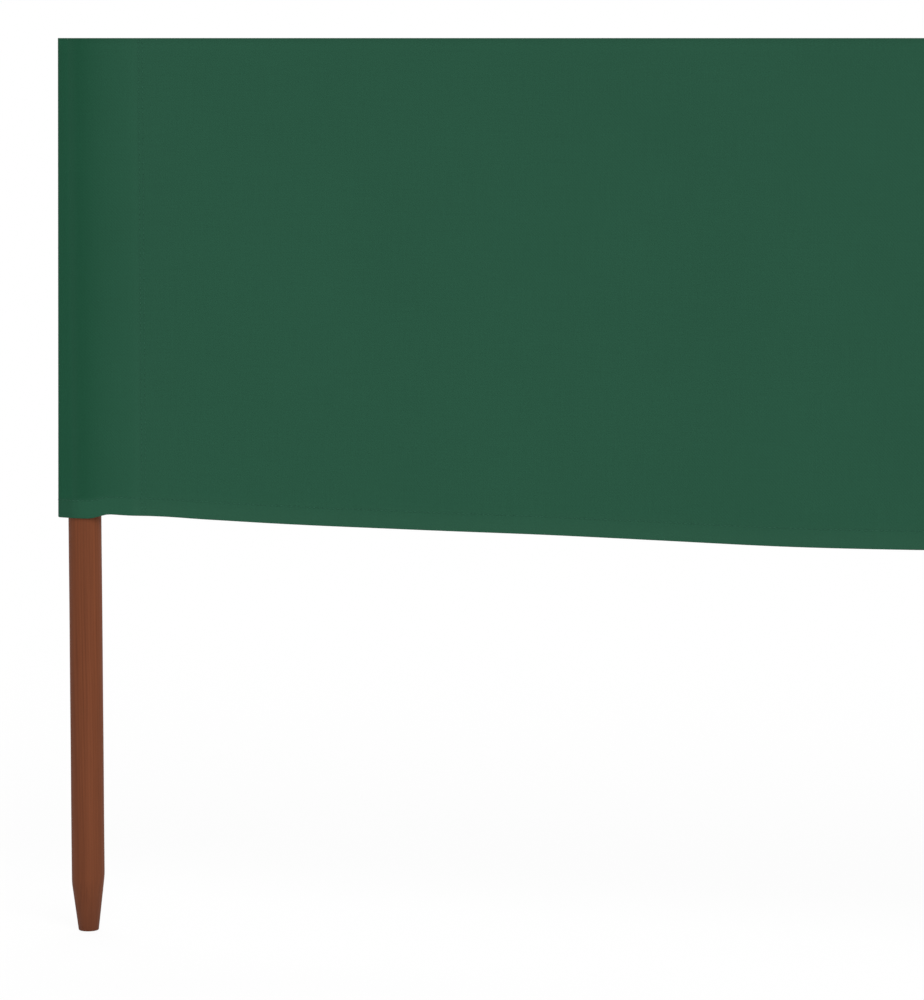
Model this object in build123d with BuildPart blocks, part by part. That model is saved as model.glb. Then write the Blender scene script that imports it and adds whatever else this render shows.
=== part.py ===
"""Beach windbreak: one long cloth held upright by a row of round wooden poles, in equal bays.

Millimetres. The origin is the centre of the flat point of the middle pole.
X runs along the cloth, -Y is the front, +Y is the back and +Z is up.
"""

import math
import os

from build123d import *

# Run of the windbreak
bay_count = 6
bay_pitch = 1000.0  # from pole axis to pole axis

# Poles, turned round and sharpened to a blunt point
pole_diameter = 29.5
bare_pole_length = 374.5  # from the point's flat end up to the cloth's hem
pole_recess = 5.0  # how far the pole's top stays below the cloth's top edge
pole_top_chamfer = 2.0
point_length = 47.0
point_diameter = 18.0
point_edge_radius = 1.0
point_shoulder_radius = 60.0

# Cloth
cloth_thickness = 0.8
cloth_height = 425.5
hem_height = 18.0
hem_turned_layers = 2  # layers turned to the back, and inside the pockets, behind the cloth itself
hem_sag = 4.0  # how far the hem hangs down in the middle of a bay

# Pockets that the poles stand in
pocket_clearance = 0.3  # between the pole and the hem round it
seam_layers = 2  # front and back cloth, sewn together beside the pole
pocket_nose_radius = 0.5  # inside the seam, where front and back layers meet
seam_lip = 8.0  # flat stitched strip outside a pocket's seam
inner_seam_slack = 20.5  # from the cloth round the pole out to the seam, at an inner pole
end_seam_slack = 36.0  # the same on the bay's side of an end pole
end_fold_slack = 5.75  # from the cloth round an end pole out to its folded edge
end_fold_radius = 10.0  # inside the folded edge, which stays round and soft

# Sizes and places that follow from the ones above
pole_count = bay_count + 1
middle_pole = pole_count // 2
pole_radius = pole_diameter / 2
point_radius = point_diameter / 2
cloth_bottom = bare_pole_length
cloth_top = bare_pole_length + cloth_height
pole_length = cloth_top - pole_recess
hem_turn_thickness = hem_turned_layers * cloth_thickness
pocket_radius = pole_radius + pocket_clearance + hem_turn_thickness
inner_seam_reach = pocket_radius + inner_seam_slack
end_seam_reach = pocket_radius + end_seam_slack
end_fold_reach = pocket_radius + end_fold_slack

LEFT = -1
RIGHT = 1


def pole_x(index):
    """Place of a pole's axis along the windbreak."""
    return (index - middle_pole) * bay_pitch


def seam_reach(index, side):
    """Distance from a pole's axis to the seam on one side, or None where the cloth's end is folded round it."""
    outer_side = {0: LEFT, pole_count - 1: RIGHT}.get(index)
    if outer_side is None:
        return inner_seam_reach
    return None if side == outer_side else end_seam_reach


def pocket_end(index, side):
    """Reach and inside radius of one end of a pocket: a stitched seam or a folded edge."""
    reach = seam_reach(index, side)
    if reach is None:
        return end_fold_reach, end_fold_radius
    return reach, pocket_nose_radius


def pocket_hollow(index):
    """Hollow of a pocket, seen from above: taut cloth round the pole, running straight to both ends."""
    with BuildSketch() as hollow:
        with BuildLine():
            shoulders = []
            for side in (LEFT, RIGHT):
                reach, nose_radius = pocket_end(index, side)
                nose_distance = reach - nose_radius
                lean = (pocket_radius - nose_radius) / nose_distance
                rise = math.sqrt(1 - lean**2)
                on_pole = (side * pocket_radius * lean, pocket_radius * rise)
                on_nose = (side * (nose_distance + nose_radius * lean), nose_radius * rise)
                Line(on_pole, on_nose)
                turn = math.degrees(math.acos(lean))
                nose_start = 0 if side == RIGHT else 180 - turn
                CenterArc((side * nose_distance, 0), nose_radius, nose_start, turn)
                shoulders.append(on_pole)
            ThreePointArc(shoulders[0], (0, pocket_radius), shoulders[1])
            mirror(about=Plane.XZ)
        make_face()
    return hollow.sketch


def make_pole(index):
    """One pole: a turned shank with a blunt point below and a chamfered top."""
    with BuildPart() as pole:
        with BuildSketch(Plane.XZ.shift_origin((pole_x(index), 0, 0))):
            with BuildLine():
                Polyline(
                    (0, 0),
                    (point_radius, 0),
                    (pole_radius, point_length),
                    (pole_radius, pole_length),
                    (0, pole_length),
                    close=True,
                )
            profile = make_face()
            corners = profile.vertices().filter_by(lambda corner: corner.X > point_radius / 2)
            edge, shoulder, top = corners.sort_by(Axis.Y)
            fillet(edge, point_edge_radius)
            fillet(shoulder, point_shoulder_radius)
            chamfer(top, pole_top_chamfer)
        revolve(axis=Axis((pole_x(index), 0, 0), (0, 0, 1)))
    return pole.part


def make_pocket(index):
    """One pocket: a tube of cloth round a pole, open above and below, with a flat lip at each seam.

    The hem is turned up inside it, so only the lowest strip holds the pole closely.
    """
    foot = Plane((pole_x(index), 0, cloth_bottom))
    hollow = pocket_hollow(index)
    with BuildPart() as pocket:
        with BuildSketch(foot):
            add(hollow)
            offset(amount=cloth_thickness)
            for side in (LEFT, RIGHT):
                reach = seam_reach(index, side)
                if reach is not None:
                    with Locations((side * (reach + seam_lip / 2), 0)):
                        Rectangle(seam_lip, seam_layers * cloth_thickness)
        extrude(amount=cloth_height)
        with BuildSketch(foot):
            add(hollow)
            offset(amount=-hem_turn_thickness)
        extrude(amount=hem_height, mode=Mode.SUBTRACT)
        with BuildSketch(foot.offset(hem_height)):
            add(hollow)
        extrude(amount=cloth_height - hem_height, mode=Mode.SUBTRACT)
    return pocket.part


def make_bay(index):
    """One bay of cloth between two pockets' lips, with its hem turned up at the back and hanging in a slight bow."""
    left = pole_x(index) + seam_reach(index, RIGHT) + seam_lip
    right = pole_x(index + 1) - seam_reach(index + 1, LEFT) - seam_lip
    with BuildPart() as bay:
        with BuildSketch(Plane.XZ):
            with BuildLine():
                SagittaArc((left, cloth_bottom), (right, cloth_bottom), -hem_sag)
                Polyline((right, cloth_bottom), (right, cloth_top), (left, cloth_top), (left, cloth_bottom))
            make_face()
        extrude(amount=cloth_thickness / 2, both=True)
        with BuildSketch(Plane.XZ.offset(-cloth_thickness / 2)):
            with BuildLine():
                SagittaArc((left, cloth_bottom), (right, cloth_bottom), -hem_sag)
                Line((right, cloth_bottom), (right, cloth_bottom + hem_height))
                SagittaArc((left, cloth_bottom + hem_height), (right, cloth_bottom + hem_height), -hem_sag)
                Line((left, cloth_bottom + hem_height), (left, cloth_bottom))
            make_face()
        extrude(amount=-hem_turn_thickness)
    return bay.part


def write_piece(piece, name):
    """Labels a finished piece and writes it to its own file."""
    piece.label = name
    export_step(piece, f"parts/{name}.step")


os.makedirs("parts", exist_ok=True)
for pole_index in range(pole_count):
    write_piece(make_pole(pole_index), f"pole_{pole_index + 1}")
    write_piece(make_pocket(pole_index), f"pole_pocket_{pole_index + 1}")
for bay_index in range(bay_count):
    write_piece(make_bay(bay_index), f"cloth_bay_{bay_index + 1}")
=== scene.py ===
"""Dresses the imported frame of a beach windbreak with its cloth, pocket strips, poles and stitching."""

import math
from functools import partial
from typing import NamedTuple

import bpy
import numpy as np
from bpy.props import FloatProperty, FloatVectorProperty, IntProperty, PointerProperty
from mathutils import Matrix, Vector


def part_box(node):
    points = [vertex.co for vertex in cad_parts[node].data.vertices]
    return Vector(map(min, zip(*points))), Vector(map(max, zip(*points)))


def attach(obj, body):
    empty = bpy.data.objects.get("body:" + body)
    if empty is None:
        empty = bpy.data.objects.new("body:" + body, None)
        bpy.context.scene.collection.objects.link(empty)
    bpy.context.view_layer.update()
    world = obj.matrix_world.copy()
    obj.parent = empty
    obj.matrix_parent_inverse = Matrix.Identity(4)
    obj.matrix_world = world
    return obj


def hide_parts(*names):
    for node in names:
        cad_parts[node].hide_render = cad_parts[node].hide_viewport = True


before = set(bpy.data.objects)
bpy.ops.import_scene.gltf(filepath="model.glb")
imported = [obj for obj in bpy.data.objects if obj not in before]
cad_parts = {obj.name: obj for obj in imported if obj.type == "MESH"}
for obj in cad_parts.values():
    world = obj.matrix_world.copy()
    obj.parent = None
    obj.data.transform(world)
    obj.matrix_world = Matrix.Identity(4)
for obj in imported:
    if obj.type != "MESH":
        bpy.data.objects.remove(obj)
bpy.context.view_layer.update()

bl_info = {
    "name": "Beach Windbreak",
    "version": (1, 0, 0),
    "blender": (4, 5, 0),
    "location": "3D View > Sidebar > Windbreak",
    "description": "Cloth, pole pockets, wooden poles and stitching of a beach windbreak",
    "category": "Object",
}


# Sizes read from the frame, in metres


def numbered(stem):
    """Names of the CAD nodes of one kind, in order along the windbreak."""
    names = [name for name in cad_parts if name.rpartition("_")[0] == stem]
    return sorted(names, key=lambda name: int(name.rpartition("_")[2]))


POLES = numbered("pole")
POCKETS = numbered("pole_pocket")
BAYS = numbered("cloth_bay")
LAST = len(POLES) - 1
POLE_BOXES = [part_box(name) for name in POLES]
POCKET_BOXES = [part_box(name) for name in POCKETS]
POLE_X = np.array([(low.x + high.x) / 2 for low, high in POLE_BOXES])
POLE_RADIUS = (POLE_BOXES[0][1].x - POLE_BOXES[0][0].x) / 2
POLE_TOP = POLE_BOXES[0][1].z
CLOTH_FOOT = POCKET_BOXES[0][0].z
CLOTH_TOP = POCKET_BOXES[0][1].z
FRONT = -1
BACK = 1


def linear(hex_colour):
    """sRGB hex colour as linear red, green and blue."""
    levels = [int(hex_colour[place : place + 2], 16) / 255 for place in (1, 3, 5)]
    return tuple(v / 12.92 if v <= 0.04045 else ((v + 0.055) / 1.055) ** 2.4 for v in levels)


# Sizes and colours that a user would change


class WindbreakCloth(bpy.types.PropertyGroup):
    """Cloth of the bays, its folded ends and the strips behind the inner poles."""

    thickness: FloatProperty(
        name="Thickness", description="Thickness of the cloth", default=0.0006, min=0.0002,
        unit="LENGTH", precision=5,
    )
    layer: FloatProperty(
        name="Layer", description="From the middle of one layer to the next where cloth lies on cloth",
        default=0.00075, min=0.0003, unit="LENGTH", precision=5,
    )
    foot_lift: FloatProperty(
        name="Foot Lift", description="Height of the hem at the seams above the CAD pockets' foot",
        default=0.0034, unit="LENGTH", precision=5,
    )
    foot_droop: FloatProperty(
        name="Foot Droop", description="How much lower the hem is beside a pole than at the seams",
        default=0.0039, unit="LENGTH", precision=5,
    )
    foot_rise: FloatProperty(
        name="Foot Rise", description="How far the hem rises where a pole pushes it out", default=0.0013,
        unit="LENGTH", precision=5,
    )
    foot_ripple: FloatProperty(
        name="Foot Ripple", description="Height of the small wave that the hem makes beside a pole",
        default=0.0012, unit="LENGTH", precision=5,
    )
    hem_height: FloatProperty(
        name="Hem Height", description="Height of the hem, which is turned up twice", default=0.018,
        min=0.004, unit="LENGTH",
    )
    pocket_ease: FloatProperty(
        name="Pocket Ease", description="Room for the turned hem between a pole and the cloth round it",
        default=0.00175, min=0.001, unit="LENGTH", precision=5,
    )
    seam_lip: FloatProperty(
        name="Seam Lip", description="Flat sewn strip beside a pocket", default=0.008, min=0.002,
        unit="LENGTH",
    )
    seam_turn: FloatProperty(
        name="Seam Turn", description="Radius at which cloth leaves a seam", default=0.012, unit="LENGTH"
    )
    fold_radius: FloatProperty(
        name="Fold Radius", description="Radius of the folded end beside an end pole", default=0.0104,
        unit="LENGTH", precision=5,
    )
    fold_lean: FloatProperty(
        name="Fold Lean", description="How much further the folded end stands out at its foot than above",
        default=0.0047, unit="LENGTH", precision=5,
    )
    wave: FloatProperty(
        name="Wave", description="How far the loose lower edge waves to front and back", default=0.0022,
        min=0.0, unit="LENGTH", precision=5,
    )
    colour: FloatVectorProperty(
        name="Colour", description="Dyed yarn", subtype="COLOR", default=linear("#295541"), min=0.0, max=1.0
    )
    # painted shade: a darker green painted where a pole stands behind the cloth and keeps daylight from
    # coming through
    painted_shade_colour: FloatVectorProperty(
        name="Backed Colour", description="Yarn with a pole behind it, so that no daylight comes through",
        subtype="COLOR", default=linear("#1C4A35"), min=0.0, max=1.0,
    )
    # painted light: a greener colour painted on a folded end, against the fold's own shading
    fold_painted_light_colour: FloatVectorProperty(
        name="Fold Colour", description="Yarn at a folded end, greener by the light between its layers",
        subtype="COLOR", default=linear("#21543D"), min=0.0, max=1.0,
    )
    # painted light: a paler green painted on the foot between the pockets, as if it turned out to the light
    foot_painted_light_colour: FloatVectorProperty(
        name="Hem Colour", description="Yarn at the foot, where the hem lies in layers", subtype="COLOR",
        default=linear("#2C5743"), min=0.0, max=1.0,
    )


class WindbreakPoles(bpy.types.PropertyGroup):
    """Round wooden poles with a sharpened foot."""

    point_length: FloatProperty(
        name="Point Length", description="Length of the sharpened foot", default=0.047, unit="LENGTH"
    )
    point_radius: FloatProperty(
        name="Point Radius", description="Radius of the flat end", default=0.009, unit="LENGTH", precision=5
    )
    point_skew: FloatProperty(
        name="Point Skew", description="By what share one side of the point is longer and the other shorter",
        default=0.08, min=0.0, max=0.3, subtype="FACTOR",
    )
    shoulder: FloatProperty(
        name="Shoulder", description="Radius at which shank and point run into each other", default=0.0575,
        unit="LENGTH", precision=5,
    )
    edge: FloatProperty(
        name="Edge", description="Rounding of the edges at both ends", default=0.001, unit="LENGTH",
        precision=5,
    )
    top_chamfer: FloatProperty(
        name="Top Chamfer", description="Bevel round the pole's top", default=0.002, unit="LENGTH",
        precision=5,
    )
    wobble: FloatProperty(
        name="Wobble", description="How far the turned wood is from truly round", default=0.0001,
        unit="LENGTH", precision=5,
    )
    light_colour: FloatVectorProperty(
        name="Light Colour", description="Stained early wood", subtype="COLOR", default=linear("#7A4328"),
        min=0.0, max=1.0,
    )
    dark_colour: FloatVectorProperty(
        name="Dark Colour", description="Stain in the late wood's lines", subtype="COLOR",
        default=linear("#663721"), min=0.0, max=1.0,
    )
    # real stain soaked into the cut fibres, and also painted shade towards the foot and on the point
    end_stain_and_shade_colour: FloatVectorProperty(
        name="End Colour", description="Stain soaked into cut fibres", subtype="COLOR",
        default=linear("#5F3421"), min=0.0, max=1.0,
    )


class WindbreakStitches(bpy.types.PropertyGroup):
    """Rows of lockstitch along the hem and the pockets."""

    length: FloatProperty(
        name="Length", description="Length of a stitch", default=0.0034, unit="LENGTH", precision=5
    )
    pitch: FloatProperty(
        name="Pitch", description="From stitch to stitch", default=0.0044, unit="LENGTH", precision=5
    )
    thread: FloatProperty(
        name="Thread", description="Thickness of the thread", default=0.0007, unit="LENGTH", precision=5
    )
    row_gap: FloatProperty(
        name="Row Gap", description="Between the two rows beside a pocket", default=0.0035,
        unit="LENGTH", precision=5,
    )
    hem_inset: FloatProperty(
        name="Hem Inset", description="From the hem's upper edge to its row", default=0.0025,
        unit="LENGTH", precision=5,
    )
    seed: IntProperty(name="Seed", description="Varies the stitches' slant", default=4, min=0)
    colour: FloatVectorProperty(
        name="Colour", description="Sewing thread", subtype="COLOR", default=linear("#2B5D48"),
        min=0.0, max=1.0,
    )


class WindbreakStage(bpy.types.PropertyGroup):
    """Floor, light and camera."""

    floor_size: FloatProperty(
        name="Floor Size", description="Side of the floor", default=400.0, unit="LENGTH"
    )
    floor_colour: FloatVectorProperty(
        name="Floor Colour", description="Pale floor", subtype="COLOR", default=linear("#FAFAFA"),
        min=0.0, max=1.0,
    )
    floor_glow: FloatProperty(
        name="Floor Glow", description="Share of plain white in the floor, so that shadows stay faint",
        default=0.9, min=0.0, max=1.0, subtype="FACTOR",
    )
    key_strength: FloatProperty(
        name="Key Strength", description="Large soft light from the right", default=1.65
    )
    rear_strength: FloatProperty(name="Rear Strength", description="Soft light from behind", default=0.7)
    sky_strength: FloatProperty(name="Sky Strength", description="Even light from all round", default=0.45)
    camera_place: FloatVectorProperty(
        name="Camera Place", description="Where the camera stands", subtype="TRANSLATION",
        default=(-1.551, -3.5871, 0.800), unit="LENGTH",
    )
    camera_turn: FloatProperty(
        name="Camera Turn", description="How far the camera looks to the left",
        default=math.radians(17.002), subtype="ANGLE",
    )
    camera_tilt: FloatProperty(
        name="Camera Tilt", description="How far the camera looks down", default=math.radians(6.075),
        subtype="ANGLE",
    )
    lens: FloatProperty(name="Lens", description="Focal length on a 36 mm sensor, in mm", default=156.26)


# Lines that the cloth follows, seen from above


class Line(NamedTuple):
    """Middle of a piece of cloth as seen from above, or a pole's outline as seen from the side."""

    points: np.ndarray
    normals: np.ndarray
    lengths: np.ndarray


def smooth_step(low, high, value):
    """0 at low, 1 at high, and a soft rise between them."""
    share = np.clip((value - low) / (high - low), 0.0, 1.0)
    return share * share * (3 - 2 * share)


def nearest_pole(x):
    """Number of the pole nearest to each place along the windbreak, from 0."""
    return np.abs(x[:, None] - POLE_X).argmin(1)


def into_bay(x):
    """Distance of each place from its nearest pole towards a bay; below zero on an end pole's outer side."""
    nearest = nearest_pole(x)
    aside = x - POLE_X[nearest]
    return np.where(nearest == 0, aside, np.where(nearest == LAST, -aside, np.abs(aside)))


def seam_distance(index, cloth):
    """From a pole's axis to the seam beside it."""
    low, high = POCKET_BOXES[index]
    edge = POLE_X[index] - low.x if index == LAST else high.x - POLE_X[index]
    return edge - cloth.seam_lip


def seam_beside(x, cloth):
    """From the axis of the pole nearest to each place to that pole's seam."""
    return np.array([seam_distance(index, cloth) for index in range(LAST + 1)])[nearest_pole(x)]


def pocket_radius(cloth):
    """Radius of the middle of the cloth round a pole."""
    return POLE_RADIUS + cloth.pocket_ease + cloth.thickness / 2


def tangent_lean(radius, distance, off_line):
    """Lean of a line to a round of that radius, from a point at a distance along and off_line aside."""
    return math.asin(radius / math.hypot(distance, off_line)) - math.atan2(off_line, distance)


def meeting(lean_left, lean_right, radius):
    """Point in front of a round where its two tangent lines meet."""
    left_line = (-math.sin(lean_left), -math.cos(lean_left))
    right_line = (math.sin(lean_right), -math.cos(lean_right))
    return np.linalg.solve([left_line, right_line], [radius, radius])


def end_corners(index, cloth):
    """Corners of a folded end, from its sewn-down edge at the back round the pole to the seam in front.

    Each corner is x, y and the radius it is turned with.
    """
    low, high = POCKET_BOXES[index]
    outer_side, edge = (-1, POLE_X[0] - low.x) if index == 0 else (1, high.x - POLE_X[LAST])
    radius, half, nose = pocket_radius(cloth), cloth.layer / 2, cloth.fold_radius
    seam = seam_distance(index, cloth)
    fold_lean = math.asin((radius - nose) / (edge - cloth.layer - nose))
    front = meeting(fold_lean, tangent_lean(radius, seam, half), radius)
    corners = [
        (seam + cloth.seam_lip, half, 0.0),
        (seam, half, cloth.seam_turn),
        (front[0], -front[1], radius),
        (-radius / math.sin(fold_lean), 0.0, nose),
        (front[0], front[1], radius),
        (seam, -half, cloth.seam_turn),
    ]
    return [(POLE_X[index] - outer_side * x, y, turn) for x, y, turn in corners]


def passing_corners(index, side, cloth):
    """Corners of cloth that passes an inner pole from seam to seam, in front of it or behind it."""
    radius, half, seam = pocket_radius(cloth), cloth.layer / 2, seam_distance(index, cloth)
    lean = tangent_lean(radius, seam, half)
    top = meeting(lean, lean, radius)
    corners = [(-seam, -half, cloth.seam_turn), (top[0], top[1], radius), (seam, -half, cloth.seam_turn)]
    return [(POLE_X[index] + x, -side * y, turn) for x, y, turn in corners]


def follow(corners):
    """Line through corners, with its points close together where it bends and near the ends of long runs."""
    short_step, long_step, long_run, turn_step = 0.0042, 0.0118, 0.1, math.radians(7)
    points, normals = [], []

    def straight(start, end):
        """Adds a run without its end: even on a short one, wider in the middle of a long one."""
        length = np.linalg.norm(end - start)
        along = (end - start) / length
        is_long = length > long_run
        count = round(length / long_step) if is_long else math.ceil(length / short_step)
        for share in np.arange(count) / count:
            if is_long:
                share = (share + (1 - math.cos(math.pi * share)) / 2) / 2
            points.append(start + along * length * share)
            normals.append((along[1], -along[0]))

    start = np.array(corners[0][:2])
    for before, corner, after in zip(corners, corners[1:], corners[2:]):
        here, radius = np.array(corner[:2]), corner[2]
        into = here - np.array(before[:2])
        out = np.array(after[:2]) - here
        into, out = into / np.linalg.norm(into), out / np.linalg.norm(out)
        turn = math.atan2(into[0] * out[1] - into[1] * out[0], into @ out)
        reach = radius * abs(math.tan(turn / 2))
        straight(start, here - into * reach)
        aside = math.copysign(1, turn) * np.array([-into[1], into[0]])
        centre = here - into * reach + aside * radius
        count = max(2, math.ceil(abs(turn) / turn_step))
        for angle in abs(turn) * np.arange(count) / count:
            spoke = into * math.sin(angle) - aside * math.cos(angle)
            points.append(centre + spoke * radius)
            normals.append(spoke if turn > 0 else -spoke)
        start = here + out * reach
    end = np.array(corners[-1][:2])
    straight(start, end)
    points.append(end)
    normals.append(normals[-1])
    points = np.array(points)
    steps = np.linalg.norm(np.diff(points, axis=0), axis=1)
    return Line(points, np.array(normals), np.concatenate([[0.0], np.cumsum(steps)]))


def cloth_line(cloth):
    """The long cloth, from its sewn-down edge behind the first pole to the one behind the last."""
    corners = end_corners(0, cloth)
    for index in range(1, LAST):
        corners += passing_corners(index, FRONT, cloth)
    corners += end_corners(LAST, cloth)[::-1]
    return follow(corners)


def strip_line(index, cloth):
    """The strip behind an inner pole, from its right edge to its left."""
    corners = passing_corners(index, BACK, cloth)[::-1]
    right, left = corners[0], corners[-1]
    first = (right[0] + cloth.seam_lip, right[1], 0.0)
    last = (left[0] - cloth.seam_lip, left[1], 0.0)
    return follow([first, *corners, last])


def spot_line(x, facing, cloth):
    """A single place on the front or the back of the sewn lips."""
    return Line(np.array([[x, facing * cloth.layer / 2]]), np.array([[0.0, facing]]), np.zeros(1))


# How the cloth stands and hangs

# Layers between the cloth and an edge sewn down over its hem: the hem's two turns and the edge's own two
LAYERS_UNDER = 4

# How far the hem hangs down along a bay, as sine terms in metres. The first bay's are the photographed one's.
HEM_BOWS = np.array(
    [
        (0.0071, -0.0015, 0.0009, 0.0004),
        (0.0061, 0.0008, 0.0005, -0.0003),
        (0.0064, -0.0007, -0.0004, 0.0003),
        (0.0058, 0.0011, 0.0006, 0.0002),
        (0.0066, -0.0004, 0.0007, -0.0004),
        (0.0060, 0.0009, -0.0005, 0.0003),
    ]
)

# Waves of a bay's cloth: size, number across and up, how much each bay shifts them, and where they start
CLOTH_WAVES = ((0.62, 1.55, 0.11, 1.0, 0.0), (0.34, 3.3, -0.16, 2.3, 0.8), (0.20, 6.1, 0.30, 1.3, 2.1))


def bay_share(x, cloth):
    """Bay number and share of the way across it for each place; the share is 0 in a pocket."""
    number = np.clip(np.searchsorted(POLE_X, x) - 1, 0, LAST - 1)
    reach = np.array([seam_distance(index, cloth) + cloth.seam_lip for index in range(LAST + 1)])
    starts, ends = (POLE_X + reach)[:-1], (POLE_X - reach)[1:]
    share = (x - starts[number]) / (ends[number] - starts[number])
    return number, np.where((share > 0) & (share < 1), share, 0.0)


def hem_drop(x, y, cloth):
    """How far the hem lies below its height at the seams: a bow in each bay, and a droop round each pole."""
    droop_start, droop_end, ripple_start = 0.55 * POLE_RADIUS, 1.85 * POLE_RADIUS, 1.36 * POLE_RADIUS
    ripple_crest, ripple_length, ripple_fade = 0.006, 0.060, 0.030
    number, share = bay_share(x, cloth)
    terms = HEM_BOWS[number % len(HEM_BOWS)]
    bow = sum(terms[:, k] * np.sin(np.pi * (k + 1) * share) for k in range(terms.shape[1]))
    aside = into_bay(x)
    at_pole = 1 - smooth_step(droop_start, droop_end, aside)
    droop = cloth.foot_droop - cloth.foot_rise * np.abs(y) / pocket_radius(cloth)
    # the cloth that the pole pulls round springs back beside it, in a small wave that soon dies away
    away = np.maximum(aside - ripple_start, 0.0)
    ripple = np.exp(-away / ripple_fade) * np.cos(2 * np.pi * (away - ripple_crest) / ripple_length)
    return bow + droop * at_pole - cloth.foot_ripple * ripple * (1 - at_pole)


def wave_out(x, height_share, cloth):
    """How far the cloth stands to the front of its plane: hardly at all above, in soft waves at the hem."""
    # a power under 1 lets the waves start close to a seam, and one over 1 keeps them near the hem
    near_seam, near_hem, left_at_top, bay_shift = 0.7, 1.6, 0.22, 1.7
    number, share = bay_share(x, cloth)
    free = np.sin(np.pi * share) ** near_seam
    loose = left_at_top + (1 - left_at_top) * (1 - height_share) ** near_hem
    phase = bay_shift * number
    waves = sum(
        size * np.sin(2 * np.pi * (across * share + upward * height_share) + shift * phase + start)
        for size, across, upward, shift, start in CLOTH_WAVES
    )
    return cloth.wave * free * loose * waves


def cloth_height(cloth):
    """From the hem's foot at the seams to the top edge."""
    return CLOTH_TOP - CLOTH_FOOT - cloth.foot_lift


def cloth_row(line, height, inward, cloth):
    """Row of points on the cloth along a line, at a height above the hem's foot and a distance inward."""
    lap_start, lap_end, lap_rise = 0.014, 0.005, 0.012
    fold_start, fold_end = -0.013, -0.024
    x, y = line.points.T
    share = np.clip(height / cloth_height(cloth), 0.0, 1.0)
    aside = into_bay(x)
    seam = seam_beside(x, cloth)
    # a sewn-down back edge steps out over the hem that it lies on
    lapped = smooth_step(seam - lap_start, seam - lap_end, aside) * (y > 0)
    over_hem = 1 - smooth_step(cloth.hem_height, cloth.hem_height + lap_rise, height)
    out = wave_out(x, share, cloth) - inward + LAYERS_UNDER * cloth.layer * lapped * over_hem
    # the folded ends stand out a little more at the foot than at the top
    outer = np.where(nearest_pole(x) == 0, -1.0, 1.0) * smooth_step(fold_start, fold_end, aside)
    lean = cloth.fold_lean * (0.5 - share) * outer
    z = CLOTH_FOOT + cloth.foot_lift + height - hem_drop(x, y, cloth) * (1 - share)
    return np.stack([x + lean + line.normals[:, 0] * out, y + line.normals[:, 1] * out, z], 1)


def hemmed_rows(cloth):
    """Heights and distances inward from the hem's raw edge, up, over, down and round the foot to the top."""
    layer, hem = cloth.layer, cloth.hem_height
    raw_edge = 4 * layer
    inside = [(height, layer) for height in np.linspace(raw_edge, hem - layer / 2, num=5)]
    over = [
        (hem - layer / 2 * (1 - math.sin(angle)), 1.5 * layer - layer / 2 * math.cos(angle))
        for angle in math.pi * np.array([0.25, 0.5, 0.75])
    ]
    down = [(height, 2 * layer) for height in np.linspace(hem - layer / 2, layer, num=6)]
    foot = [
        (layer - layer * math.sin(angle), layer + layer * math.cos(angle))
        for angle in math.pi * np.array([1, 2, 3, 4, 5]) / 6
    ]
    up = [(height, 0.0) for height in np.linspace(layer, hem, num=6)]
    above = [(height, 0.0) for height in np.linspace(hem, cloth_height(cloth), num=38)[1:]]
    return np.array(inside + over + down + foot + up + above)


def painted_light_marks(x, cloth):
    """How much painted shade a pole behind the cloth and how much painted light the fold of an end give its
    colour, at each place along it.
    """
    # distances are in pole radii, and left_at_fold is a share
    touching, fade, before_seam, past_seam = 0.2, 1.7, 0.6, 0.1
    fold_start, fold_end, bay_side, left_at_fold = -0.15, -0.6, 0.55, 0.38
    aside, seam = into_bay(x) / POLE_RADIUS, seam_beside(x, cloth) / POLE_RADIUS
    # painted shade: it fades away from where a pole touches the cloth, as daylight would come through it
    # again, and is gone past the seam
    painted_shade_share = np.exp(-np.maximum(aside - touching, 0.0) / fade)
    # at a folded end only part of the painted shade is kept, as painted light against the fold's own shading
    painted_shade_share *= left_at_fold + (1 - left_at_fold) * smooth_step(fold_end, bay_side, aside)
    painted_shade_share *= 1 - smooth_step(seam - before_seam, seam + past_seam, aside)
    # the second mark is the share of painted light on a folded end
    return {"painted_pole_shade": painted_shade_share, "folded": smooth_step(fold_start, fold_end, aside)}


def woven_sheet(name, line, rows, cloth, material):
    """A closed thin mesh of cloth, with a UV map in metres and marks for its painted light and shade; and its
    flat size.
    """
    grid = np.stack([cloth_row(line, height, inward, cloth) for height, inward in rows])
    number = np.arange(grid.shape[0] * grid.shape[1]).reshape(grid.shape[:2])
    faces = np.stack([number[:-1, :-1], number[:-1, 1:], number[1:, 1:], number[1:, :-1]], -1)
    sheet = new_piece(name, grid.reshape(-1, 3).tolist(), [], faces.reshape(-1, 4).tolist())
    mesh = sheet.data
    mesh.update()
    steps = np.linalg.norm(np.diff(rows, axis=0), axis=1)
    up = np.concatenate([[0.0], np.cumsum(steps)])
    flat = (float(line.lengths[-1]), float(up[-1]))
    # the map's zero is at the foot
    weave = np.stack(np.meshgrid(line.lengths, up - up[rows[:, 0].argmin()]), -1).reshape(-1, 2)
    loops = np.zeros(len(mesh.loops), int)
    mesh.loops.foreach_get("vertex_index", loops)
    mesh.uv_layers.new(name="Weave").data.foreach_set("uv", weave[loops].reshape(-1).astype(np.float32))
    for key, share in painted_light_marks(line.points[:, 0], cloth).items():
        mark = mesh.attributes.new(key, "FLOAT", "POINT")
        mark.data.foreach_set("value", np.tile(share, len(rows)).astype(np.float32))
    mesh.shade_smooth()
    mesh.materials.append(material)
    solid = sheet.modifiers.new("Thickness", "SOLIDIFY")
    solid.thickness = cloth.thickness
    solid.offset = 0.0
    solid.use_even_offset = True
    make_plain(sheet)
    return sheet, flat


# Pieces and nodes


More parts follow.
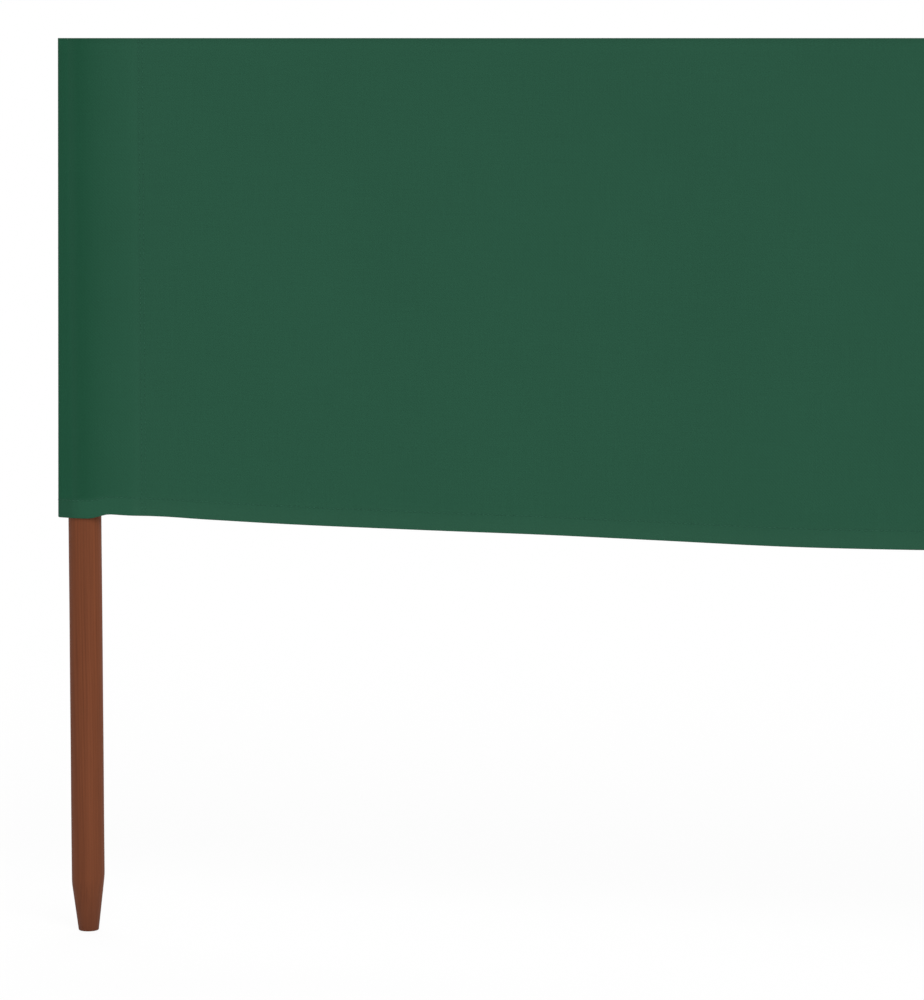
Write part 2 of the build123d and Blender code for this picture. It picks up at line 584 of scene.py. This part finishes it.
def new_piece(name, points, edges, faces):
    """An object with a mesh of points, edges and faces."""
    mesh = bpy.data.meshes.new(name)
    mesh.from_pydata(points, edges, faces)
    piece = bpy.data.objects.new(name, mesh)
    bpy.context.scene.collection.objects.link(piece)
    return piece


def make_plain(piece):
    """Turns a piece with modifiers into a plain mesh."""
    graph = bpy.context.evaluated_depsgraph_get()
    plain = bpy.data.meshes.new_from_object(
        piece.evaluated_get(graph), preserve_all_data_layers=True, depsgraph=graph
    )
    piece.modifiers.clear()
    old = piece.data
    piece.data = plain
    plain.name = piece.name
    bpy.data.meshes.remove(old)


def add_node(tree, kind, inputs=None, output=0, **settings):
    """Adds a node, sets its settings, gives its inputs a value or a link, and returns one of its outputs."""
    made = tree.nodes.new(kind)
    for key, value in settings.items():
        setattr(made, key, value)
    for key, value in (inputs or {}).items():
        if isinstance(value, bpy.types.NodeSocket):
            tree.links.new(value, made.inputs[key])
        else:
            made.inputs[key].default_value = value
    return made.outputs[output] if len(made.outputs) else None


# Sockets of a Mix node that mixes colours
FACTOR, COLOUR_A, COLOUR_B, MIXED = 0, 6, 7, 2


def new_tree(name, inputs):
    """The function that adds a node to a new tree of geometry nodes, and the tree's own inputs."""
    tree = bpy.data.node_groups.new(name, "GeometryNodeTree")
    tree.interface.new_socket("Geometry", in_out="OUTPUT", socket_type="NodeSocketGeometry")
    for label, kind in {"Geometry": "Geometry", **inputs}.items():
        tree.interface.new_socket(label, in_out="INPUT", socket_type="NodeSocket" + kind)
    add = partial(add_node, tree)
    return add, add("NodeGroupInput").node.outputs


def run_tree(piece, tree, values):
    """Runs a tree of geometry nodes on a piece and keeps the result as a plain mesh."""
    nodes = piece.modifiers.new(tree.name, "NODES")
    nodes.node_group = tree
    for socket in tree.interface.items_tree:
        if socket.in_out == "INPUT" and socket.name in values:
            nodes[socket.identifier] = values[socket.name]
    make_plain(piece)


def end_tree(add, geometry, material):
    """The tree of geometry nodes, ended: its instances are made real and get their material."""
    real = add("GeometryNodeRealizeInstances", {"Geometry": geometry})
    done = add("GeometryNodeSetMaterial", {"Geometry": real, "Material": material})
    add("NodeGroupOutput", {0: done})
    return done.id_data


# Materials


def new_material(name):
    """A material without nodes, and the function that adds one to it."""
    material = bpy.data.materials.new(name)
    material.use_nodes = True
    material.node_tree.nodes.clear()
    return material, partial(add_node, material.node_tree)


def per_metre(millimetres):
    """Scale of a pattern whose marks have that size."""
    return 1000 / millimetres


def uneven_marks(add, place, sizes, detail):
    """Soft uneven marks that have these sizes in millimetres along each axis."""
    scale = [per_metre(size) for size in sizes]
    scaled = add("ShaderNodeVectorMath", {0: place, 1: scale}, operation="MULTIPLY")
    return add("ShaderNodeTexNoise", {"Vector": scaled, "Scale": 1.0, "Detail": detail})


def thread_grid(add, place, spacing):
    """Plain weave of threads at a spacing in millimetres: high and low by turns where they cross."""
    turns = math.pi * per_metre(spacing)
    scaled = add("ShaderNodeVectorMath", {0: place, 1: (turns, turns, 0)}, operation="MULTIPLY")
    parts = add("ShaderNodeSeparateXYZ", {0: scaled}).node.outputs
    across, upward = [add("ShaderNodeMath", {0: part}, operation="SINE") for part in parts[:2]]
    return add("ShaderNodeMath", {0: across, 1: upward}, operation="MULTIPLY")


def dye_and_painted_light(add, place, cloth):
    """Colour of the cloth without its yarn: painted paler at the foot, painted shade deeper at a pole, and a
    deeper green of painted light at a folded end.
    """
    foot_end, foot_start = 1.4 * cloth.hem_height, 0.2 * cloth.hem_height
    below_edge, above_edge = cloth.hem_height - 0.003, cloth.hem_height + 0.001
    # painted shade where a pole stands behind the cloth, and painted light on a folded end
    behind = add("ShaderNodeAttribute", output="Fac", attribute_name="painted_pole_shade")
    folded = add("ShaderNodeAttribute", output="Fac", attribute_name="folded")
    up = add("ShaderNodeSeparateXYZ", {0: place}, output=1)
    # painted light: between the pockets the foot is painted a little paler, as if it turned out to the light
    in_bay = add("ShaderNodeMapRange", {"Value": behind, "From Min": 0.19, "From Max": 0.1})
    at_foot = add(
        "ShaderNodeMapRange", {"Value": up, "From Min": foot_end, "From Max": foot_start},
        interpolation_type="SMOOTHSTEP",
    )
    paler = add("ShaderNodeMath", {0: in_bay, 1: at_foot}, operation="MULTIPLY")
    # in the pockets the hem's layers all but hide the pole, so the painted pole shade and the fold's painted
    # light are mostly left off the hem
    above_hem = add(
        "ShaderNodeMapRange",
        {"Value": up, "From Min": below_edge, "From Max": above_edge, "To Min": 0.2},
    )
    painted_shade_share = add("ShaderNodeMath", {0: behind, 1: above_hem}, operation="MULTIPLY")
    folded = add("ShaderNodeMath", {0: folded, 1: above_hem}, operation="MULTIPLY")
    # painted foot light, painted pole shade and painted fold light, laid over the dye in turn
    layers = (paler, cloth.foot_painted_light_colour), (painted_shade_share, cloth.painted_shade_colour), (folded, cloth.fold_painted_light_colour)
    coloured = (*cloth.colour, 1)
    for share, colour in layers:
        over = {FACTOR: share, COLOUR_A: coloured, COLOUR_B: (*colour, 1)}
        coloured = add("ShaderNodeMix", over, MIXED, data_type="RGBA")
    return coloured


def woven_polyester(cloth):
    """Dyed polyester canvas in plain weave: matt and even, with a faint thread grid and uneven yarn."""
    # sizes of the patterns in millimetres
    thread, coarse_thread, slub_length, slub_width, dye_patch = 0.5, 1.5, 45, 1.1, 150
    thread_shade, yarn_relief = 0.06, 1.2
    material, add = new_material("woven_polyester_canvas")
    place = add("ShaderNodeUVMap", uv_map="Weave")
    # the real threads only show from close by; a fainter grid that is three times as coarse is drawn with
    # them so that some weave still shows in the render
    threads, coarse_grid = thread_grid(add, place, thread), thread_grid(add, place, coarse_thread)
    # slubs: each yarn is a little thicker or paler for some centimetres, drawn wider so that it shows
    weft = uneven_marks(add, place, (slub_length, slub_width, slub_width), 1.0)
    warp = uneven_marks(add, place, (slub_width, slub_length, slub_width), 1.0)
    yarn = add("ShaderNodeMath", {0: weft, 1: warp}, operation="ADD")
    # the dye takes unevenly
    cloud = uneven_marks(add, place, [dye_patch] * 3, 2.0)
    uneven = add("ShaderNodeMath", {0: yarn, 1: cloud}, operation="ADD")
    shade = add(
        "ShaderNodeMapRange",
        {"Value": uneven, "From Min": 0.9, "From Max": 2.1, "To Min": 0.955, "To Max": 1.045},
    )
    # painted shade: the threads are painted a little darker where they dip and lighter where they rise
    shade = add("ShaderNodeMath", {0: threads, 1: thread_shade, 2: shade}, operation="MULTIPLY_ADD")
    coloured = dye_and_painted_light(add, place, cloth)
    colour = add("ShaderNodeVectorMath", {0: coloured, "Scale": shade}, operation="SCALE")
    height = add("ShaderNodeMath", {0: yarn, 1: yarn_relief, 2: coarse_grid}, operation="MULTIPLY_ADD")
    bump = add("ShaderNodeBump", {"Height": height, "Strength": 0.13, "Distance": 0.0003})
    bump = add("ShaderNodeBump", {"Height": threads, "Strength": 0.3, "Distance": 0.0001, "Normal": bump})
    shader = add(
        "ShaderNodeBsdfPrincipled",
        {"Base Color": colour, "Normal": bump, "Roughness": 0.85, "Specular IOR Level": 0.04},
    )
    add("ShaderNodeOutputMaterial", {"Surface": shader})
    return material


def stained_softwood(poles):
    """Softwood with brown stain, turned smooth: soft streaks along the pole, dull gloss, darker point."""
    # sizes of the patterns in millimetres: between rings, and across and along the trunk
    ring, bend, streak, pore = 2.4, (14, 14, 200), (4.2, 4.2, 250), (0.67, 0.67, 38)
    ring_wander, ring_weight, pore_weight = 0.004, 0.10, 0.5
    low_shade_top, low_shade_foot = 0.24, 0.06
    material, add = new_material("stained_softwood")
    place = add("ShaderNodeAttribute", output="Vector", attribute_name="grain")
    # the trunk's rings wander by a millimetre
    wander = uneven_marks(add, place, bend, 2.0)
    flat = add("ShaderNodeVectorMath", {0: place, 1: (1, 1, 0)}, operation="MULTIPLY")
    out = add("ShaderNodeVectorMath", {0: flat}, output="Value", operation="LENGTH")
    out = add("ShaderNodeMath", {0: wander, 1: ring_wander, 2: out}, operation="MULTIPLY_ADD")
    turns = 2 * math.pi * per_metre(ring)
    rings = add("ShaderNodeMath", {0: out, 1: turns}, operation="MULTIPLY")
    rings = add("ShaderNodeMath", {0: rings}, operation="SINE")
    # stain sinks in by streaks and pores
    figure = uneven_marks(add, place, streak, 2.0)
    pores = uneven_marks(add, place, pore, 2.0)
    for marks, weight in (pores, pore_weight), (rings, ring_weight):
        figure = add("ShaderNodeMath", {0: marks, 1: weight, 2: figure}, operation="MULTIPLY_ADD")
    late = add("ShaderNodeMapRange", {"Value": figure, "From Min": 0.45, "From Max": 1.05})
    # painted shade: the pole is painted a little darker towards its foot; the cut point is darker still,
    # partly real stain soaked into cut fibres and partly painted shade
    object_place = add("ShaderNodeTexCoord", output="Object")
    up = add("ShaderNodeSeparateXYZ", {0: object_place}, output=2)
    painted_low_shade = add(
        "ShaderNodeMapRange", {"Value": up, "From Min": low_shade_top, "From Max": low_shade_foot, "To Max": 0.3}
    )
    at_point = add(
        "ShaderNodeMapRange",
        {"Value": up, "From Min": poles.point_length, "From Max": 0.0, "To Max": 0.55},
    )
    darker = add("ShaderNodeMath", {0: painted_low_shade, 1: at_point}, operation="ADD")
    colour = (*poles.light_colour, 1)
    for share, stain in (late, poles.dark_colour), (darker, poles.end_stain_and_shade_colour):
        over = {FACTOR: share, COLOUR_A: colour, COLOUR_B: (*stain, 1)}
        colour = add("ShaderNodeMix", over, MIXED, data_type="RGBA")
    bump = add("ShaderNodeBump", {"Height": figure, "Strength": 0.25, "Distance": 0.0003})
    rough = add(
        "ShaderNodeMapRange",
        {"Value": figure, "From Min": 0.4, "From Max": 1.1, "To Min": 0.55, "To Max": 0.68},
    )
    shader = add(
        "ShaderNodeBsdfPrincipled",
        {"Base Color": colour, "Normal": bump, "Roughness": rough, "Specular IOR Level": 0.12},
    )
    add("ShaderNodeOutputMaterial", {"Surface": shader})
    return material


def sewing_thread(stitches):
    """Spun polyester thread dyed to match: matt, with fuzzy fibres, sunk a little into the cloth."""
    fibre = 0.4  # millimetres
    material, add = new_material("spun_polyester_thread")
    place = add("ShaderNodeTexCoord", output="Object")
    fuzz = uneven_marks(add, place, [fibre] * 3, 2.0)
    shade = add("ShaderNodeMapRange", {"Value": fuzz, "To Min": 0.7, "To Max": 1.3})
    coloured = tuple(stitches.colour)
    colour = add("ShaderNodeVectorMath", {0: coloured, "Scale": shade}, operation="SCALE")
    shader = add(
        "ShaderNodeBsdfPrincipled", {"Base Color": colour, "Roughness": 0.8, "Specular IOR Level": 0.2}
    )
    add("ShaderNodeOutputMaterial", {"Surface": shader})
    return material


# Poles and stitches


def pole_tree():
    """Node tree that turns an outline round a circle, as on a lathe, and makes the pole slightly uneven."""
    add, given = new_tree(
        "turned_pole",
        {
            "Radius": "Float", "Place": "Vector", "Phase": "Float", "Wobble": "Float",
            "Point Length": "Float", "Point Skew": "Float", "Heart": "Vector", "Run": "Vector",
            "Wood": "Material",
        },
    )
    outline = add("GeometryNodeMeshToCurve", {"Mesh": given["Geometry"]})
    circle = add("GeometryNodeCurvePrimitiveCircle", {"Resolution": 56, "Radius": given["Radius"]})
    turned = add("GeometryNodeCurveToMesh", {"Curve": circle, "Profile Curve": outline})
    closed = add("GeometryNodeMergeByDistance", {"Geometry": turned, "Distance": 0.00001})
    spot = add("GeometryNodeInputPosition")
    x, y, z = add("ShaderNodeSeparateXYZ", {0: spot}).node.outputs
    turn = add("ShaderNodeMath", {0: y, 1: x}, operation="ARCTAN2")
    # the shank is out of round by waves that run round and up it
    course = add("ShaderNodeCombineXYZ", {0: turn, 1: z, 2: given["Phase"]})
    bulge = 0.0
    for waves, size in ((2, 9, 1), 0.5), ((3, -23, 2), 0.3), ((1, 47, 3), 0.25):
        wave = add("ShaderNodeVectorMath", {0: course, 1: waves}, output="Value", operation="DOT_PRODUCT")
        wave = add("ShaderNodeMath", {0: wave}, operation="SINE")
        bulge = add("ShaderNodeMath", {0: wave, 1: size, 2: bulge}, operation="MULTIPLY_ADD")
    wobble = add("ShaderNodeMath", {0: given["Wobble"], 1: given["Radius"]}, operation="DIVIDE")
    swell = add("ShaderNodeMath", {0: bulge, 1: wobble, 2: 1.0}, operation="MULTIPLY_ADD")
    # the point is longer on one side; further up the shank the same pull fades out
    aside = add("ShaderNodeMath", {0: turn, 1: given["Phase"]}, operation="SUBTRACT")
    aside = add("ShaderNodeMath", {0: aside}, operation="COSINE")
    points_up = add("ShaderNodeMath", {0: z, 1: given["Point Length"]}, operation="DIVIDE")
    pull = add(
        "ShaderNodeMapRange",
        {"Value": points_up, "From Min": 3.0, "From Max": 1.2, "To Max": given["Point Skew"]},
    )
    stretch = add("ShaderNodeMath", {0: aside, 1: pull, 2: 1.0}, operation="MULTIPLY_ADD")
    scale = add("ShaderNodeCombineXYZ", {0: swell, 1: swell, 2: stretch})
    moved = add("ShaderNodeVectorMath", {0: spot, 1: scale}, operation="MULTIPLY")
    shaped = add("GeometryNodeSetPosition", {"Geometry": closed, "Position": moved})
    # the pole was sawn beside the heart of the trunk and a little across its run
    along = add("ShaderNodeVectorMath", {0: given["Run"], "Scale": z}, operation="SCALE")
    in_trunk = add("ShaderNodeVectorMath", {0: spot, 1: given["Heart"]}, operation="ADD")
    in_trunk = add("ShaderNodeVectorMath", {0: in_trunk, 1: along}, operation="ADD")
    grained = add(
        "GeometryNodeStoreNamedAttribute", {"Geometry": shaped, "Name": "grain", "Value": in_trunk},
        data_type="FLOAT_VECTOR", domain="POINT",
    )
    placed = add("GeometryNodeTransform", {"Geometry": grained, "Translation": given["Place"]})
    return end_tree(add, placed, given["Wood"])


def turned_pole(name, index, poles, material):
    """One pole, turned from its outline: bevelled top, shank, sharpened point and flat end."""
    chamfer, edge = poles.top_chamfer, poles.edge
    outline = follow(
        [
            (0.0, POLE_TOP, 0.0),
            (POLE_RADIUS - chamfer, POLE_TOP, edge),
            (POLE_RADIUS, POLE_TOP - chamfer, edge),
            (POLE_RADIUS, poles.point_length, poles.shoulder),
            (poles.point_radius, 0.0, edge),
            (0.0, 0.0, 0.0),
        ]
    ).points
    # the circle that it is turned round is the shank's own
    points = [(radius - POLE_RADIUS, -height, 0.0) for radius, height in outline]
    piece = new_piece(name, points, [(k, k + 1) for k in range(len(points) - 1)], [])
    # each pole comes from another place in the trunk
    phase = 2.4 * index
    heart_distance, run_slope, trunk_start, trunk_step = 0.034, 0.008, 26, 1.3
    heart = (math.cos(phase + 1) * heart_distance, math.sin(phase + 1) * heart_distance)
    run = (math.cos(3 * phase) * run_slope, math.sin(3 * phase) * run_slope, 0.0)
    run_tree(
        piece,
        bpy.data.node_groups.get("turned_pole") or pole_tree(),
        {
            "Radius": POLE_RADIUS, "Place": (POLE_X[index], 0.0, 0.0), "Phase": phase,
            "Wobble": poles.wobble, "Point Length": poles.point_length, "Point Skew": poles.point_skew,
            "Heart": (*heart, trunk_start + trunk_step * index), "Run": run, "Wood": material,
        },
    )
    piece.data.shade_smooth()
    piece.data.set_sharp_from_angle(angle=math.radians(40))
    return piece


def stitch_tree():
    """Node tree that lays stitches along a mesh's edges."""
    add, given = new_tree(
        "rows_of_stitches",
        {
            "Stitch Length": "Float", "Stitch Pitch": "Float", "Thread Thickness": "Float", "Seed": "Int",
            "Thread": "Material",
        },
    )
    rows = add("GeometryNodeMeshToCurve", {"Mesh": given["Geometry"]})
    spots = add(
        "GeometryNodeCurveToPoints", {"Curve": rows, "Length": given["Stitch Pitch"]}, mode="LENGTH"
    ).node.outputs
    along = add("FunctionNodeAlignRotationToVector", {"Vector": spots["Tangent"]}, axis="X")
    most = 0.10
    slant = add(
        "FunctionNodeRandomValue", {0: (0.0, -most, -most), 1: (0.0, most, most), "Seed": given["Seed"]},
        data_type="FLOAT_VECTOR",
    )
    slant = add("FunctionNodeEulerToRotation", {0: slant})
    turned = add("FunctionNodeRotateRotation", {0: along, 1: slant}, rotation_space="LOCAL")
    thick = given["Thread Thickness"]
    size = add("ShaderNodeCombineXYZ", {0: given["Stitch Length"], 1: thick, 2: thick})
    bead = add("GeometryNodeMeshUVSphere", {"Segments": 6, "Rings": 4, "Radius": 0.5})
    bead = add("GeometryNodeSetShadeSmooth", {0: bead})
    placed = add(
        "GeometryNodeInstanceOnPoints",
        {"Points": spots["Points"], "Instance": bead, "Rotation": turned, "Scale": size},
    )
    return end_tree(add, placed, given["Thread"])


def sew(name, rows, stitches, material):
    """Lays stitches along rows of points and keeps them as one plain mesh."""
    points, edges = [], []
    for row in rows:
        start = len(points)
        points += row.tolist()
        edges += [(start + k, start + k + 1) for k in range(len(row) - 1)]
    piece = new_piece(name, points, edges, [])
    run_tree(
        piece,
        bpy.data.node_groups.get("rows_of_stitches") or stitch_tree(),
        {
            "Stitch Length": stitches.length, "Stitch Pitch": stitches.pitch,
            "Thread Thickness": stitches.thread, "Seed": stitches.seed, "Thread": material,
        },
    )
    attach(piece, "root")


def upright_row(spot, proud, cloth):
    """Points up a seam, just proud of the cloth."""
    ends = 0.003
    heights = np.linspace(ends, cloth_height(cloth) - ends, num=100)
    return np.concatenate([cloth_row(spot, height, -proud, cloth) for height in heights])


# Operators


class WINDBREAK_OT_cloth(bpy.types.Operator):
    """Makes the long cloth with its folded ends and turned hem, and the strips behind the inner poles"""

    bl_idname = "windbreak.make_cloth"
    bl_label = "Make Cloth"

    def execute(self, context):
        cloth = context.scene.windbreak_cloth
        material = woven_polyester(cloth)
        rows = hemmed_rows(cloth)
        main, flat = woven_sheet("windbreak_cloth", cloth_line(cloth), rows, cloth, material)
        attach(main, "root")
        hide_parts(*BAYS, *POCKETS)
        for index in range(1, LAST):
            name = f"pocket_strip_{index + 1}"
            strip, flat = woven_sheet(name, strip_line(index, cloth), rows, cloth, material)
            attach(strip, "root")
            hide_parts(POCKETS[index])
        return {"FINISHED"}


class WINDBREAK_OT_poles(bpy.types.Operator):
    """Makes the round poles with their sharpened feet"""

    bl_idname = "windbreak.make_poles"
    bl_label = "Make Poles"

    def execute(self, context):
        poles = context.scene.windbreak_poles
        material = stained_softwood(poles)
        for index, name in enumerate(POLES):
            piece = turned_pole(f"wooden_{name}", index, poles, material)
            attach(piece, "root")
            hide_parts(name)
        return {"FINISHED"}


class WINDBREAK_OT_stitches(bpy.types.Operator):
    """Sews the hem and the pockets with rows of stitches"""

    bl_idname = "windbreak.make_stitches"
    bl_label = "Make Stitches"

    def execute(self, context):
        cloth = context.scene.windbreak_cloth
        stitches = context.scene.windbreak_stitches
        material = sewing_thread(stitches)
        # a stitch is pulled in until its middle is a tenth of the thread above the cloth
        proud = cloth.thickness / 2 + 0.1 * stitches.thread
        line = cloth_line(cloth)
        height = cloth.hem_height - stitches.hem_inset
        hem = [cloth_row(line, height, inward, cloth) for inward in (-proud, 2 * cloth.layer + proud)]
        hem += [cloth_row(strip_line(index, cloth), height, -proud, cloth) for index in range(1, LAST)]
        sew("hem_stitches", hem, stitches, material)
        seams = []
        for index in range(LAST + 1):
            for side in {0: [1], LAST: [-1]}.get(index, [-1, 1]):
                for row in (-0.5, 0.5):
                    aside = seam_distance(index, cloth) + cloth.seam_lip / 2 + row * stitches.row_gap
                    for facing in (FRONT, BACK):
                        spot = spot_line(POLE_X[index] + side * aside, facing, cloth)
                        seams.append(upright_row(spot, proud, cloth))
        sew("pocket_stitches", seams, stitches, material)
        return {"FINISHED"}


class WINDBREAK_OT_stage(bpy.types.Operator):
    """Sets up the floor, the light and the camera"""

    bl_idname = "windbreak.make_stage"
    bl_label = "Make Stage"

    def execute(self, context):
        scene = context.scene
        stage = scene.windbreak_stage
        self.floor(stage)
        self.sky(scene, stage)
        self.sun("key_light", stage.key_strength, turn=36, height=38, spread=40)
        self.sun("rear_light", stage.rear_strength, turn=205, height=52, spread=50)
        self.camera(scene, stage)
        scene.view_settings.view_transform = "Standard"
        return {"FINISHED"}

    def floor(self, stage):
        """Pale matt floor just under the poles, lifted to white for the camera but for the shadow."""
        half, level = stage.floor_size / 2, -0.0004
        corners = [(x * half, y * half, level) for x, y in ((-1, -1), (1, -1), (1, 1), (-1, 1))]
        floor = new_piece("floor", corners, [], [(0, 1, 2, 3)])
        material, add = new_material("pale_floor")
        matt = add("ShaderNodeBsdfDiffuse", {"Color": (*stage.floor_colour, 1)})
        # a little over white makes up for the floor's own grey, so that it is white outside the shadow
        white = add("ShaderNodeEmission", {"Color": (1, 1, 1, 1), "Strength": 1.01})
        share = add("ShaderNodeMath", {0: self.seen(add), 1: stage.floor_glow}, operation="MULTIPLY")
        mixed = add("ShaderNodeMixShader", {0: share, 1: matt, 2: white})
        add("ShaderNodeOutputMaterial", {"Surface": mixed})
        floor.data.materials.append(material)

    def seen(self, add):
        """1 for what the camera, a reflection or a view through something shows."""
        rays = add("ShaderNodeLightPath").node.outputs
        seen = rays["Is Camera Ray"]
        for kind in ("Is Glossy Ray", "Is Transmission Ray"):
            seen = add("ShaderNodeMath", {0: seen, 1: rays[kind]}, operation="MAXIMUM")
        return seen

    def sky(self, scene, stage):
        """White all round for the camera, and a softer even light on the object."""
        world = bpy.data.worlds.new("studio")
        world.use_nodes = True
        scene.world = world
        world.node_tree.nodes.clear()
        add = partial(add_node, world.node_tree)
        strength = add("ShaderNodeMapRange", {"Value": self.seen(add), "To Min": stage.sky_strength})
        glow = add("ShaderNodeBackground", {"Color": (1, 1, 1, 1), "Strength": strength})
        add("ShaderNodeOutputWorld", {"Surface": glow})

    def aimed(self, data, turn, up):
        """A light or camera that points from the front, turned round to the right and up, at the object."""
        made = bpy.data.objects.new(data.name, data)
        bpy.context.scene.collection.objects.link(made)
        back = Vector((math.sin(turn) * math.cos(up), -math.cos(turn) * math.cos(up), math.sin(up)))
        made.rotation_mode = "QUATERNION"
        made.rotation_quaternion = back.to_track_quat("Z", "Y")
        return made

    def sun(self, name, strength, turn, height, spread):
        """A large soft light from far away; angles in degrees."""
        lamp = bpy.data.lights.new(name, "SUN")
        lamp.energy = strength
        lamp.angle = math.radians(spread)
        self.aimed(lamp, math.radians(turn), math.radians(height))

    def camera(self, scene, stage):
        """The photograph's view."""
        camera = bpy.data.cameras.new("camera")
        camera.lens = stage.lens
        camera.sensor_width = 36.0
        camera.clip_end = 500.0
        scene.camera = self.aimed(camera, stage.camera_turn, stage.camera_tilt)
        scene.camera.location = stage.camera_place


class WINDBREAK_PT_panel(bpy.types.Panel):
    """Sizes, colours and steps of the windbreak"""

    bl_idname = "WINDBREAK_PT_panel"
    bl_label = "Beach Windbreak"
    bl_space_type = "VIEW_3D"
    bl_region_type = "UI"
    bl_category = "Windbreak"

    def draw(self, context):
        for operator, _, settings in STEPS:
            box = self.layout.box()
            box.operator(operator.bl_idname)
            group = getattr(context.scene, settings)
            for key in group.bl_rna.properties.keys():
                if key not in {"rna_type", "name"}:
                    box.prop(group, key)


# Each step's operator, its settings, and the scene's name for them
STEPS = (
    (WINDBREAK_OT_cloth, WindbreakCloth, "windbreak_cloth"),
    (WINDBREAK_OT_poles, WindbreakPoles, "windbreak_poles"),
    (WINDBREAK_OT_stitches, WindbreakStitches, "windbreak_stitches"),
    (WINDBREAK_OT_stage, WindbreakStage, "windbreak_stage"),
)


def register():
    for operator, group, settings in STEPS:
        bpy.utils.register_class(group)
        setattr(bpy.types.Scene, settings, PointerProperty(type=group))
        bpy.utils.register_class(operator)
    bpy.utils.register_class(WINDBREAK_PT_panel)


def unregister():
    bpy.utils.unregister_class(WINDBREAK_PT_panel)
    for operator, group, settings in reversed(STEPS):
        bpy.utils.unregister_class(operator)
        delattr(bpy.types.Scene, settings)
        bpy.utils.unregister_class(group)


def main():
    register()
    bpy.ops.windbreak.make_cloth()
    bpy.ops.windbreak.make_poles()
    bpy.ops.windbreak.make_stitches()
    bpy.ops.windbreak.make_stage()
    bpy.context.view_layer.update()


if __name__ == "__main__":
    main()
